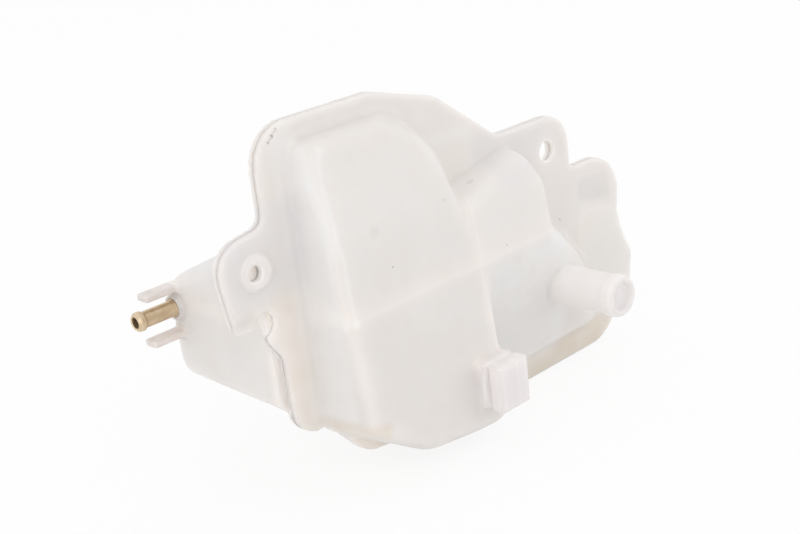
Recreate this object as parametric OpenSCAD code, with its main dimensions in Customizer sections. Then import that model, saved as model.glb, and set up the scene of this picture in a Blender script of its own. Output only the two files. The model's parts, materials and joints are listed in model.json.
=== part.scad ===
// Coolant expansion tank: two moulded shells welded along a lobed flange,
// a hose outlet, a slide-in lug, a metal vent nipple and a screw cap with its valves.
// The origin is the centre of the flange's bolt hole, on the weld plane.
// +X runs along the flange, +Z is up and the front shell faces -Y.

/* [Walls] */
// Wall of both shells
wall = 2.8; // [2:0.2:3.6]
// Thickness of each shell's flange
flange_t = 3.2; // [2.4:0.2:4.4]
// Thickness of the inner baffles
baffle_t = 2; // [1.4:0.2:3]
// Radius of the transfer holes in the rear shell's baffles
transfer_r = 8; // [4:0.5:9]

/* [Main box] */
// Bolt hole to the left wall
box_left = 178; // [174:1:184]
// Bolt hole to the top of the box
box_top = 53; // [50:1:56]
// Bolt hole down to the floor of the box
box_floor = 119; // [116:1:121]
// Bolt hole to the box's right wall, below the bend
box_right = 80; // [76:1:84]
// Depth of the front shell at the top
depth_top = 16; // [14:1:19]
// Depth of the front shell below its sloping brow
depth_brow = 26.5; // [24:0.5:28]
// Depth of the front shell at the bend
depth_bend = 31; // [29:1:33]
// Depth of the front shell at the floor
depth_floor = 38; // [35:1:42]
// Bolt hole down to the bend across the front
bend_drop = 30; // [27:1:33]
// Corner radius of the front shell
corner_r = 10; // [8:0.5:12]
// Radius of its near edge below the brow
edge_r = 4.5; // [4:0.5:6]

/* [Second box] */
// Top of the second box above the bolt hole
second_top = 13; // [11:0.5:14]
// Bolt hole to the second box's right wall
second_right = 24; // [22:1:27]

/* [Low step] */
// Bolt hole to the right end of the low step
step_right = 31; // [27:1:34]
// Depth of the low step at the floor
step_depth = 9; // [8:0.5:12]

/* [Flange] */
// Overlap of the flange above the box
lip = 9; // [7:0.5:11]
// Overlap of the flange left of the box
side_lip = 16; // [14:0.5:18]
// Overlap of the flange below the floor
floor_lip = 5.5; // [4:0.5:7]
// Radius of the bolt hole
hole_r = 5.5; // [3:0.1:6.5]
// Radius of the ear around the bolt hole
ear_r = 19; // [17:0.5:21]
// Radius of the clip notch in the left ear
notch_r = 6.2; // [4:0.2:7]
// Depth of the shallow steps in the flange's face
step_in = 0.8; // [0.4:0.1:1.4]
// Outer radius of the round boss on the left ear
boss_r = 8.5; // [7:0.5:9.5]
// Radius of the blind hole in that boss
boss_hole_r = 4; // [2.5:0.5:5]

/* [Hose outlet] */
// Bolt hole to the outlet's axis, along X
outlet_x = 17; // [15:1:20]
// Bolt hole down to the outlet's axis
outlet_drop = 68; // [65:1:70]
// Outside radius of the outlet
outlet_r = 10.8; // [9:0.1:11.5]
// Bore radius of the outlet
outlet_bore_r = 7.5; // [5:0.1:8.2]
// Weld plane to the outlet's tip
outlet_tip = 62; // [52:1:70]
// Height of the barb's bead
outlet_bead = 0.8; // [0.4:0.1:1.2]

/* [Slide-in lug] */
// Width of the lug
lug_w = 21; // [16:0.5:24]
// Height of the lug
lug_h = 25; // [20:0.5:28]
// Lug's head, front to back
lug_head = 8; // [5:0.5:10]
// Groove behind the head
lug_groove = 2.6; // [1.6:0.2:4]
// Depth of the groove on each side
lug_groove_depth = 3.4; // [2:0.2:5]

/* [Rear shell] */
// Weld plane to the rear face
rear_depth = 84; // [78:1:90]
// How far the arm's end wall stands out to the left of the main box
arm_reach = 22; // [19:1:25]
// Corner radius of the rear shell
rear_r = 10; // [8:0.5:12]

/* [Vent nipple] */
// Outside radius of the nipple
vent_r = 4.2; // [3:0.1:5]
// Bore radius of the nipple
vent_bore_r = 2.9; // [1.5:0.1:3]
// Radius of its bead
vent_bead_r = 5; // [4.8:0.1:6]
// How far it stands out of the end wall
vent_reach = 25; // [19:1:31]
// How far its guard tabs stand out
guard_reach = 19; // [14:1:23]
// Width of the two guard tabs beside it
guard_w = 9; // [7:0.5:11]
// Thickness of the guard tabs
guard_t = 4; // [2.6:0.2:5]
// Nipple's axis to the middle of each guard tab
guard_gap = 12; // [10:0.5:14]

/* [Filler neck] */
// Bolt hole to the neck's axis, along X
neck_x = 42; // [38:1:46]
// Bolt hole down to the neck's axis
neck_drop = 64; // [60:1:68]
// Bore radius of the neck
neck_bore_r = 16.5; // [15.5:0.1:17]
// Wall of the neck
neck_wall = 3; // [2.4:0.1:3.6]
// Height of the neck above the rear face
neck_h = 17; // [15:0.5:20]

/* [Cap] */
// Wall of the cap's skirt and top
cap_wall = 2.6; // [2:0.1:3.4]
// Height of the cap's skirt over the neck
skirt_h = 13; // [10:0.5:14]
// Number of grip ribs
grips = 24; // [12:1:36]
// Section radius of the O-rings
ring_r = 1.5; // [1.2:0.1:1.8]
// Wire radius of the pressure spring
spring_wire_r = 0.7; // [0.5:0.05:0.9]
// Turns of the pressure spring
spring_turns = 4; // [3:1:5]
// Lift of the pressure valve
pressure_lift = 2; // [1:0.1:2.4]
// Drop of the vacuum valve
vacuum_drop = 1.2; // [0.6:0.1:1.6]

/* [Fits] */
// Radial clearance of parts that slide or turn in each other
run_gap = 0.08; // [0.03:0.01:0.1]
// Gap between parts that move apart
free_gap = 0.4; // [0.3:0.05:0.6]

/* [Hidden] */
round_fn = 96;
soft_fn = 24;
thin = 0.5;
milky = [0.90, 0.88, 0.86];
corner_steps = 7;

// Places on the weld plane: left wall, floor, bend and the plane of the upright baffle
left = -box_left;
arm_left = box_left + arm_reach;
floor_z = -box_floor;
bend_z = -bend_drop;
split_x = -box_right - 7;
// Two heights where the front bends over its sloping brow
brow_z = 6;
high_brow_z = 24;
// The main box: its top right shoulder, the valley beside it, and its foot and heel on the floor
shoulder_x = -121;
shoulder_r = 21;
valley_z = 4;
foot_x = -110;
foot_rise = 2;
heel_x = -136;
heel_rise = 16;
left_foot_rise = 34;
// The low step's sloping top right edge, from its shoulder over its elbow to its side
step_shoulder = [-15, -42];
step_elbow_z = -61;
step_side_z = -83;

function unit(v) = v / norm(v);

// Points of a corner at b, rounded with radius r, between the sides to a and c
function corner(a, b, c, r) =
    let (u = unit(a - b), v = unit(c - b), half = acos(u * v) / 2,
         centre = b + unit(u + v) * r / sin(half),
         p = b + u * r / tan(half) - centre, q = b + v * r / tan(half) - centre,
         from = atan2(p[1], p[0]), swing = atan2(q[1], q[0]) - from,
         turn = swing > 180 ? swing - 360 : swing < -180 ? swing + 360 : swing)
    [for (i = [0 : corner_steps]) centre + r * [cos(from + turn * i / corner_steps),
                                                sin(from + turn * i / corner_steps)]];

// A closed outline of corners [x, z, radius]
function rounded(k) =
    [for (i = [0 : len(k) - 1])
        let (a = k[(i + len(k) - 1) % len(k)], b = k[i], c = k[(i + 1) % len(k)])
        each corner([a[0], a[1]], [b[0], b[1]], [c[0], c[1]], b[2])];

// The clip notch and the round boss of the left ear
notch = [left - 25, -27.5];
boss_at = [left - 25.5, -1];

// The flange's outline, clockwise from the top left
flange_outline = [
    [left - side_lip, box_top + lip, 20], [-122, box_top + lip, 30], [-80, box_top + lip - 12, 14],
    [-38, ear_r, 9], [ear_r - 0.5, ear_r, ear_r - 0.5], [ear_r - 0.5, -14.5, 3], [63, -14.5, 23],
    [57, -57, 6], [69, -79.5, 12], [65, -100, 18], [36, floor_z - floor_lip, 28],
    [-84, floor_z - floor_lip, 60], [-153.5, floor_z + 4.5, 18], [left + 3, -90, 6],
    [left - side_lip, -90, 14], [left - 17, -47, 8], [notch[0] + 1, notch[1] - 9, 3],
    [notch[0], notch[1], 0.5], [left - 41, notch[1], 3], [left - 47, 13.5, 15],
    [left - side_lip - 1, 18, 6]];

// The sunk panel of the third lobe and the raised face of the fourth
panel_outline = [[21, -22.5, 6], [52, -23.5, 14], [52, -44, 5], [21, -38, 5]];
face_outline = [[21, -43, 6], [38, -43, 30], [57, -51.5, 6], [64, -79.5, 12], [60, -99, 12], [21, -99, 4]];

// One soft box: discs [x, z, r] on the weld plane and balls [x, depth, z, r] in front of it,
// all rolled in by inset
module soft_box(discs, balls, inset = 0) {
    hull() {
        for (p = discs)
            translate([p[0], inset > 0 ? thin : 0, p[1]])
                rotate([90, 0, 0])
                    cylinder(r = p[2] - inset, h = 2 * thin, $fn = soft_fn);
        for (p = balls)
            translate([p[0], p[3] - p[1], p[2]])
                rotate([90, 0, 0])
                    sphere(r = p[3] - inset, $fn = soft_fn);
    }
}

module main_box(inset = 0) {
    r = corner_r;
    foot = r + foot_rise;
    depth_high = (depth_top + depth_brow) / 2 + 1;
    soft_box([[left + foot, box_top - foot, foot], [shoulder_x, box_top - shoulder_r, shoulder_r],
              [-box_right - r, valley_z, foot], [-box_right - r, floor_z + foot, foot],
              [foot_x, floor_z + foot, foot], [heel_x, floor_z + heel_rise, foot],
              [left + foot, floor_z + left_foot_rise, foot]],
             [[left + foot, depth_top, box_top - foot, r], [shoulder_x - 5, depth_top, box_top - foot, r],
              [foot_x - 1, depth_top + 3, box_top - shoulder_r, r],
              [left + edge_r + 3, depth_high, high_brow_z, edge_r + 2],
              [foot_x + 4, depth_high, high_brow_z, r],
              [left + edge_r + 2, depth_brow, brow_z, edge_r], [foot_x + 8, depth_brow, brow_z, r],
              [left + edge_r + 1, depth_bend, bend_z, edge_r],
              [-box_right - r, depth_bend, bend_z, r],
              [left + edge_r + 4, depth_floor - 2, floor_z + left_foot_rise - 1, edge_r],
              [heel_x + 2, depth_floor - 1, floor_z + heel_rise - 1, r],
              [foot_x + 4, depth_floor, floor_z + foot, r],
              [-box_right - r, depth_floor, floor_z + foot - 1, r]],
             inset);
}

// The second box: the two ends of its top, and the height where its sides begin to slope
second_foot = -56;
second_peak = -39;
second_side_z = -8;

module second_box(inset = 0) {
    r = corner_r - 1;
    side = -second_right - r;
    high = second_top - r;
    depth_peak = depth_bend - r;
    soft_box([[second_foot, high - 7, r], [second_peak, high, r], [side + 1, second_side_z, r],
              [side, bend_z, r], [split_x, bend_z, r], [split_x, second_side_z + 2, r]],
             [[second_foot, depth_peak, high - r, r], [second_peak - 1, depth_peak, high - 1, r],
              [side - 1, depth_bend - 5, second_side_z - 1, r], [side - 3, depth_bend, bend_z, r],
              [split_x, depth_bend, bend_z, r], [split_x, depth_bend - 5, second_side_z, r]],
             inset);
}

module low_step(inset = 0) {
    r = corner_r - 2;
    side = step_right - r;
    soft_box([[split_x, bend_z - r, r], [step_shoulder[0], step_shoulder[1], r],
              [side - 14, step_elbow_z, r], [side, step_side_z, r],
              [side - 1, floor_z + r + 6, r], [split_x, floor_z + r + 6, r]],
             [[split_x, depth_bend, bend_z - 2, r],
              [-second_right - corner_r - 2, depth_bend, bend_z - 2, r],
              [side - 18, step_depth + 5, step_elbow_z - 3, r],
              [side - 3, step_depth, floor_z + r + 9, r],
              [split_x, step_depth, floor_z + r + 8, r]],
             inset);
}

// Everything that the front shell holds, less the baffles
module front_cavity() {
    difference() {
        union() {
            main_box(wall);
            second_box(wall);
            low_step(wall);
        }
        baffles(-1);
    }
}

// The upright baffle and the level one: side -1 fills the front shell and 1 the rear shell
module baffles(side) {
    reach = side * (rear_depth + 20);
    translate([split_x - baffle_t / 2, min(0, reach), floor_z])
        cube([baffle_t, abs(reach), box_floor + box_top]);
    translate([-arm_left, min(0, reach), bend_z - baffle_t / 2])
        cube([arm_left + step_right, abs(reach), baffle_t]);
}

module flange_plate() {
    rotate([90, 0, 0])
        linear_extrude(flange_t)
            difference() {
                polygon(rounded(flange_outline));
                circle(r = hole_r, $fn = round_fn);
                translate(notch)
                    circle(r = notch_r, $fn = round_fn);
            }
}

// Lays a flat shape on the front of the flange: from depth y, h thick
module on_flange(y, h) {
    translate([0, -y, 0])
        rotate([90, 0, 0])
            linear_extrude(h)
                children();
}

// The boss stands boss_h over the flange's face. Its hole lies a little off its middle and
// goes through the front flange, so the rear shell's flange closes it.
boss_h = 2;
boss_hole_at = boss_at - [1, 0.5];

module boss() {
    on_flange(flange_t - 1, boss_h + 1)
        translate(boss_at)
            circle(r = boss_r, $fn = round_fn);
}

module boss_hole() {
    on_flange(-1, flange_t + boss_h + 2)
        translate(boss_hole_at)
            circle(r = boss_hole_r, $fn = round_fn);
}

// Shallow steps of the flange's face: the third lobe's panel and the lip beside the notch
module sunk_faces() {
    on_flange(flange_t - step_in, step_in + 1) {
        polygon(rounded(panel_outline));
        translate([left - 52, notch[1] - 4])
            square([24, 13]);
    }
}

module raised_face() {
    on_flange(flange_t - 1, 1 + step_in)
        polygon(rounded(face_outline));
}

// Outlet: depths of its root and of its bore's start inside the low step, length of its bead,
// the two slopes of the bead and the narrowing of its tip
outlet_root = 10;
outlet_bore_root = 6;
barb_l = 9;
barb_back = 2;
barb_front = 3;
barb_nose = 0.6;

module outlet_tube() {
    translate([-outlet_x, 0, -outlet_drop])
        rotate([90, 0, 0])
            rotate_extrude($fn = round_fn)
                polygon([[0, outlet_root], [outlet_r, outlet_root], [outlet_r, outlet_tip - barb_l],
                         [outlet_r + outlet_bead, outlet_tip - barb_l + barb_back],
                         [outlet_r + outlet_bead, outlet_tip - barb_front],
                         [outlet_r - barb_nose, outlet_tip], [0, outlet_tip]]);
}

// The lug's block, its neck between the grooves and its head, from back to front
lug_at = [-95, -89];
lug_root = depth_bend - 8;
lug_front = depth_floor + 4;

module lug_slab(w, back, t) {
    translate([lug_at[0] - w / 2, -back - t, lug_at[1] - lug_h / 2])
        cube([w, t, lug_h]);
}

module lug() {
    lug_slab(lug_w, lug_root, lug_front - lug_root);
    lug_slab(lug_w - 2 * lug_groove_depth, lug_front - 1, lug_groove + 2);
    lug_slab(lug_w, lug_front + lug_groove, lug_head);
}

// The shallow balls bulge past the weld plane, so the front shell is cut off there
module behind_weld() {
    translate([-2 * arm_left, 0, -2 * box_floor])
        cube([3 * arm_left, rear_depth, 4 * box_floor]);
}

module front_shell() {
    color(milky)
        difference() {
            union() {
                main_box();
                second_box();
                low_step();
                flange_plate();
                raised_face();
                boss();
                outlet_tube();
                lug();
            }
            front_cavity();
            behind_weld();
            sunk_faces();
            boss_hole();
            translate([-outlet_x, -outlet_bore_root, -outlet_drop])
                rotate([90, 0, 0])
                    cylinder(r = outlet_bore_r, h = outlet_tip, $fn = round_fn);
        }
}

// The rear shell's boxes, mirrored to the back of the weld plane. Their top slopes down
// towards the rear face, from the height top_z to back_z.
top_z = 4;
back_z = -29;
arm_floor = -77;
deep_left = -156;
deep_foot = 30;
crown_depth = 30;
crown_back_depth = 62;
crown_right = -128;

module arm_box(inset = 0) {
    r = rear_r;
    x = -arm_left + r;
    low = arm_floor + r;
    mirror([0, 1, 0])
        soft_box([[x, top_z, r], [x, low, r], [foot_x, low, r], [foot_x, top_z, r]],
                 [[x, rear_depth, back_z, r], [x, rear_depth, low + 2, r],
                  [foot_x, rear_depth, back_z, r], [foot_x, rear_depth, low + 2, r]],
                 inset);
}

module deep_box(inset = 0) {
    r = rear_r;
    low = floor_z + r;
    side = step_right - r - 1;
    mirror([0, 1, 0])
        soft_box([[deep_left, arm_floor + r - 5, r], [deep_left + deep_foot, low, r],
                  [side - 8, low, r], [side, step_side_z, r], [side - 13, step_elbow_z, r],
                  [step_shoulder[0], step_shoulder[1], r], [-second_right - 2 * r - 2, top_z, r],
                  [deep_left + 6, top_z, r]],
                 [[deep_left + 8, rear_depth, arm_floor + r + 1, r],
                  [deep_left + deep_foot + 4, rear_depth, low + 3, r],
                  [side - 20, rear_depth - 4, low + 3, r],
                  [side - 18, rear_depth - 4, step_side_z + 6, r],
                  [-second_right - 4 * r + 2, rear_depth, back_z, r],
                  [deep_left + r, rear_depth, back_z, r]],
                 inset);
}

module crown_box(inset = 0) {
    r = rear_r;
    high = box_top - r - 3;
    right = split_x + 1.5 * r;
    mirror([0, 1, 0])
        soft_box([[left + r + 4, high, r], [crown_right + 4, high, r], [right - 26, high - 22, r],
                  [right + 16, top_z, r], [left + r + 4, back_z + 9, r]],
                 [[left + r + 8, crown_depth, high - 6, r], [crown_right, crown_depth, high - 6, r],
                  [right, crown_depth + r, top_z - 2, r],
                  [right, crown_back_depth, back_z + 7, r],
                  [left + r + 18, crown_back_depth, back_z + 7, r]],
                 inset);
}

// The arm reaches past the front shell, so it has a front wall of its own beside the main box
module arm_front() {
    translate([-arm_left - 1, 0, arm_floor - 1])
        cube([arm_reach + 1, flange_t, top_z + rear_r - arm_floor + 2]);
}

module rear_cavity() {
    difference() {
        union() {
            arm_box(wall);
            deep_box(wall);
            crown_box(wall);
        }
        baffles(1);
        arm_front();
    }
    transfer_holes();
}

// The transfer holes: their distance behind the weld plane and their places along each baffle
transfer_y = 26;
transfer_heights = [-80, -16];
transfer_sides = [-110, -66];

module transfer_holes() {
    for (z = transfer_heights)
        translate([split_x - baffle_t, transfer_y, z])
            rotate([0, 90, 0])
                cylinder(r = transfer_r, h = 2 * baffle_t, $fn = round_fn);
    for (x = transfer_sides)
        translate([x, transfer_y, bend_z - baffle_t])
            cylinder(r = transfer_r, h = 2 * baffle_t, $fn = round_fn);
}

// Axis of the nipple: height and distance behind the weld plane
vent_z = -34;
vent_y = rear_depth - 11;

// The pair of guard tabs sits a little low beside the nipple, and each tab is rooted in the wall
guard_low = 1.4;
guard_root = 4;

module guard_tab(z) {
    translate([-arm_left - guard_reach, vent_y - guard_w / 2, vent_z - guard_low + z - guard_t / 2])
        cube([guard_reach + guard_root, guard_w, guard_t]);
}

// Frames a child that is built along +Z on the neck's axis, from the rear face outwards
module on_neck(h = 0) {
    translate([-neck_x, rear_depth + h, -neck_drop])
        rotate([-90, 0, 0])
            children();
}

neck_root = wall + 3;

module rear_shell() {
    color(milky)
        difference() {
            union() {
                arm_box();
                deep_box();
                crown_box();
                translate([0, flange_t, 0])
                    flange_plate();
                on_neck(-neck_root)
                    cylinder(r = neck_out_r, h = neck_h + neck_root, $fn = round_fn);
                translate([-arm_left - 3, vent_y, vent_z])
                    rotate([0, 90, 0])
                        cylinder(r = vent_r + vent_collar, h = vent_root + 3, $fn = round_fn);
                guard_tab(guard_gap);
                guard_tab(-guard_gap);
            }
            rear_cavity();
            on_neck(-2 * neck_root)
                cylinder(r = neck_bore_r, h = neck_h + 2 * neck_root + 1, $fn = round_fn);
            translate([-arm_left - 4, vent_y, vent_z])
                rotate([0, 90, 0])
                    cylinder(r = vent_root_r, h = 20, $fn = round_fn);
        }
}

module vent_nipple() {
    bead_l = 5;
    nose = 1.6;
    shoulder = vent_root + 3;
    tip = vent_root + vent_reach;
    color([0.62, 0.50, 0.36])
        translate([-arm_left + vent_root, vent_y, vent_z])
            rotate([0, -90, 0])
                rotate_extrude($fn = round_fn)
                    polygon([[vent_bore_r, 0], [vent_root_r, 0], [vent_root_r, shoulder],
                             [vent_r, shoulder], [vent_r, tip - bead_l],
                             [vent_bead_r, tip - bead_l + 1], [vent_bead_r, tip - nose],
                             [vent_bore_r + 0.5, tip], [vent_bore_r, tip]]);
}

// Nipple: how deep its root sits in the end wall, the root's radius, and the moulded collar's wall
vent_root = 6;
vent_root_r = vent_r + 0.6;
vent_collar = 2.4;

// The cap stands on the neck's tip: heights from the rear face, along the neck's axis
neck_out_r = neck_bore_r + neck_wall;
skirt_in = neck_out_r + 3 * free_gap;
claw_low = neck_h + free_gap;
claw_t = 1.2;
claw_in = 0.8;
rim_low = claw_low + claw_t + free_gap;
rim_t = 1.8;
rim_r = skirt_in - free_gap;
cap_roof = rim_low + rim_t + free_gap;
cap_low = neck_h - skirt_h;
grip_r = 1.4;

// The valve housing hangs in the neck's bore, with its ring in a groove
housing_r = neck_bore_r - run_gap;
housing_bore_r = neck_bore_r - 4.9;
housing_low = 1;
seat_t = 2.4;
seat_z = housing_low + seat_t;
seat_hole_r = 7;
seal_z = neck_h / 2;
cover_t = 2.4;
cover_z = rim_low + rim_t - cover_t;

// The pressure valve sits on its gasket, and the vacuum valve hangs below it
gasket_t = 1.2;
disc_z = seat_z + run_gap + gasket_t;
disc_t = 2;
disc_r = housing_bore_r - 1;
collar_r = 4.6;
collar_t = 1.8;
collar_z = disc_z + disc_t + collar_t;
stem_r = 1.6;
vacuum_t = 1.4;
vacuum_r = seat_hole_r - 1;

// The small spring closes the vacuum valve, and its turns let the valve drop
small_wire_r = 0.35;
small_turns = 3;
small_h = 2 * small_wire_r * (small_turns + 1) + vacuum_drop;
clip_z = collar_z + small_h;
clip_t = 0.8;
clip_r = 3.4;

// The sleeve under the cover guides the big spring and stops the pressure valve
sleeve_in = collar_r + 1.2;
sleeve_out = sleeve_in + 1.2;
sleeve_low = disc_z + disc_t + pressure_lift + run_gap;
spring_r = disc_r - 2.2;

module ring(out_r, in_r, z, h) {
    translate([0, 0, z])
        difference() {
            cylinder(r = out_r, h = h, $fn = round_fn);
            translate([0, 0, -1])
                cylinder(r = in_r, h = h + 2, $fn = round_fn);
        }
}

// An open coil of round wire: its turns are swept ring by ring
module coil(mean_r, wire_r, z, h, turns) {
    per_turn = 16;
    sides = 6;
    steps = turns * per_turn;
    rise = h - 2 * wire_r;
    points = [for (i = [0 : steps], k = [0 : sides - 1])
        let (a = i * 360 / per_turn, b = k * 360 / sides, reach = mean_r + wire_r * cos(b))
        [reach * cos(a), reach * sin(a), z + wire_r + rise * i / steps + wire_r * sin(b)]];
    walls = [for (i = [0 : steps - 1], k = [0 : sides - 1])
        [i * sides + k, (i + 1) * sides + k,
         (i + 1) * sides + (k + 1) % sides, i * sides + (k + 1) % sides]];
    polyhedron(points, concat(walls, [[for (k = [0 : sides - 1]) k]],
                              [[for (k = [0 : sides - 1]) steps * sides + sides - 1 - k]]));
}

module cap_shell() {
    skirt_out = skirt_in + cap_wall;
    h = cap_roof + cap_wall - cap_low;
    color([0.09, 0.09, 0.10])
        on_neck()
            difference() {
                union() {
                    translate([0, 0, cap_low])
                        cylinder(r = skirt_out, h = h, $fn = round_fn);
                    for (i = [0 : grips - 1])
                        rotate(i * 360 / grips)
                            translate([skirt_out, 0, cap_low])
                                cylinder(r = grip_r, h = h - grip_r, $fn = 16);
                }
                translate([0, 0, cap_low - 1])
                    cylinder(r = skirt_in, h = claw_low - cap_low + 1, $fn = round_fn);
                translate([0, 0, claw_low - 1])
                    cylinder(r = rim_r - claw_in, h = claw_t + 2, $fn = round_fn);
                translate([0, 0, claw_low + claw_t])
                    cylinder(r = skirt_in, h = cap_roof - claw_low - claw_t, $fn = round_fn);
            }
}

module valve_housing() {
    groove_h = 2 * ring_r + 0.4;
    groove_r = housing_r + run_gap - 2 * ring_r - 0.1;
    color([0.16, 0.16, 0.17])
        on_neck()
            difference() {
                union() {
                    translate([0, 0, housing_low])
                        cylinder(r = housing_r, h = rim_low - housing_low + 1, $fn = round_fn);
                    translate([0, 0, rim_low])
                        cylinder(r = rim_r, h = rim_t, $fn = round_fn);
                }
                translate([0, 0, seat_z])
                    cylinder(r = housing_bore_r, h = neck_h + 20, $fn = round_fn);
                cylinder(r = seat_hole_r, h = neck_h, $fn = round_fn);
                ring(housing_r + 1, groove_r, seal_z - groove_h / 2, groove_h);
            }
}

module neck_seal() {
    color([0.12, 0.12, 0.12])
        on_neck(seal_z)
            rotate_extrude($fn = round_fn)
                translate([neck_bore_r - run_gap / 2 - ring_r, 0])
                    circle(r = ring_r, $fn = 32);
}

module spring_cover() {
    holes = 6;
    hole_r = 1.2;
    hole_ring = (sleeve_out + housing_bore_r) / 2;
    color([0.16, 0.16, 0.17])
        on_neck()
            difference() {
                union() {
                    translate([0, 0, cover_z])
                        cylinder(r = housing_bore_r, h = cover_t, $fn = round_fn);
                    ring(sleeve_out, sleeve_in, sleeve_low, cover_z - sleeve_low + 0.5);
                }
                for (i = [0 : holes - 1])
                    rotate(i * 360 / holes)
                        translate([hole_ring, 0, cover_z - 1])
                            cylinder(r = hole_r, h = cover_t + 2, $fn = round_fn);
            }
}

module pressure_valve() {
    passages = 3;
    passage_r = 0.8;
    color([0.80, 0.78, 0.70])
        on_neck()
            difference() {
                union() {
                    translate([0, 0, disc_z])
                        cylinder(r = disc_r, h = disc_t, $fn = round_fn);
                    translate([0, 0, disc_z])
                        cylinder(r = collar_r, h = collar_z - disc_z, $fn = round_fn);
                }
                translate([0, 0, disc_z - 1])
                    cylinder(r = stem_r + run_gap, h = collar_z - disc_z + 2, $fn = round_fn);
                for (i = [0 : passages - 1])
                    rotate(i * 360 / passages)
                        translate([(stem_r + collar_r) / 2 - 0.1, 0, disc_z - 1])
                            cylinder(r = passage_r, h = collar_z - disc_z + 2, $fn = round_fn);
            }
}

module pressure_gasket() {
    color([0.12, 0.12, 0.12])
        on_neck()
            ring(disc_r - 0.4, seat_hole_r - 0.4, disc_z - gasket_t, gasket_t);
}

module pressure_spring() {
    color([0.65, 0.66, 0.68])
        on_neck()
            coil(spring_r, spring_wire_r, disc_z + disc_t, cover_z - disc_z - disc_t, spring_turns);
}

module vacuum_valve() {
    color([0.80, 0.78, 0.70])
        on_neck()
            union() {
                translate([0, 0, disc_z - run_gap - vacuum_t])
                    cylinder(r = vacuum_r, h = vacuum_t, $fn = round_fn);
                translate([0, 0, disc_z - run_gap - vacuum_t])
                    cylinder(r = stem_r, h = clip_z + clip_t + 0.6 - disc_z + vacuum_t, $fn = round_fn);
            }
}

module vacuum_spring() {
    color([0.65, 0.66, 0.68])
        on_neck()
            coil(stem_r + 2.5 * small_wire_r, small_wire_r, collar_z, small_h, small_turns);
}

module vacuum_clip() {
    color([0.65, 0.66, 0.68])
        on_neck()
            ring(clip_r, stem_r, clip_z, clip_t);
}

front_shell();
rear_shell();
vent_nipple();
cap_shell();
valve_housing();
neck_seal();
spring_cover();
pressure_valve();
pressure_gasket();
pressure_spring();
vacuum_valve();
vacuum_spring();
vacuum_clip();
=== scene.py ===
import json
import math

import bmesh
import bpy
import numpy as np
from mathutils import Matrix, Vector

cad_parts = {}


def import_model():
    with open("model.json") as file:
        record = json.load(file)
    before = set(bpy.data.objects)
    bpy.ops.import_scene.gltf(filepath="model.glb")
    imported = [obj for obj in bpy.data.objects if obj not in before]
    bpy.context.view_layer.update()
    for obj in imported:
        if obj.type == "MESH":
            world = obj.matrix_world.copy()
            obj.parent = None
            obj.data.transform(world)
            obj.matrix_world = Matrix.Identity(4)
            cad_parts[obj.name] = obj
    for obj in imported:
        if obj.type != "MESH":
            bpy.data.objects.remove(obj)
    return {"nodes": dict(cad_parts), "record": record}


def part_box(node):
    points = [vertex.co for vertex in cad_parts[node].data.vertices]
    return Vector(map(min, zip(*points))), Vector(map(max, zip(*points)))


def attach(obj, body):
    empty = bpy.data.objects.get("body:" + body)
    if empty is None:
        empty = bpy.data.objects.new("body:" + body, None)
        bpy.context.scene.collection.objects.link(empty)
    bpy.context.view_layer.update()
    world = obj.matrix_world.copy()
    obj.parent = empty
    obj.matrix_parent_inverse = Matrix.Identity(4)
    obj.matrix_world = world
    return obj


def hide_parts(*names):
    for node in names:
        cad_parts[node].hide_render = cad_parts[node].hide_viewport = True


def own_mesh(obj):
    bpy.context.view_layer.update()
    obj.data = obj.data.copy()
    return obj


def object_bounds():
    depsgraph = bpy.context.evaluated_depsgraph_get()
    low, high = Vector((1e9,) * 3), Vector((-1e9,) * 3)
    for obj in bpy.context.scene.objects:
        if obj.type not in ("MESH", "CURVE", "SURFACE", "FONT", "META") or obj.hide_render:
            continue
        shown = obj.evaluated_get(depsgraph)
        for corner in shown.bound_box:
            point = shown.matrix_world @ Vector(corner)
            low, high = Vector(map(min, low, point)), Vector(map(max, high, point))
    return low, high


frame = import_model()
cadLow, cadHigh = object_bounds()
mm = 0.001
print("frame loaded")


def screen(red, green, blue):
    # a colour as read off a screen, from 0 to 255, as light
    def one(value):
        value /= 255
        return value / 12.92 if value <= 0.04045 else ((value + 0.055) / 1.055) ** 2.4
    return (one(red), one(green), one(blue), 1)


class Signal:
    # one value on its way through a material
    def __init__(self, bench, socket):
        self.bench = bench
        self.socket = socket

    def work(self, operation, first, second):
        return self.bench.add("ShaderNodeMath", {"operation": operation}, {0: first, 1: second})

    def __add__(self, other):
        return self.work("ADD", self, other)

    def __radd__(self, other):
        return self.work("ADD", other, self)

    def __sub__(self, other):
        return self.work("SUBTRACT", self, other)

    def __rsub__(self, other):
        return self.work("SUBTRACT", other, self)

    def __mul__(self, other):
        return self.work("MULTIPLY", self, other)

    def __rmul__(self, other):
        return self.work("MULTIPLY", other, self)

    def __abs__(self):
        return self.work("ABSOLUTE", self, 0)


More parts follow.
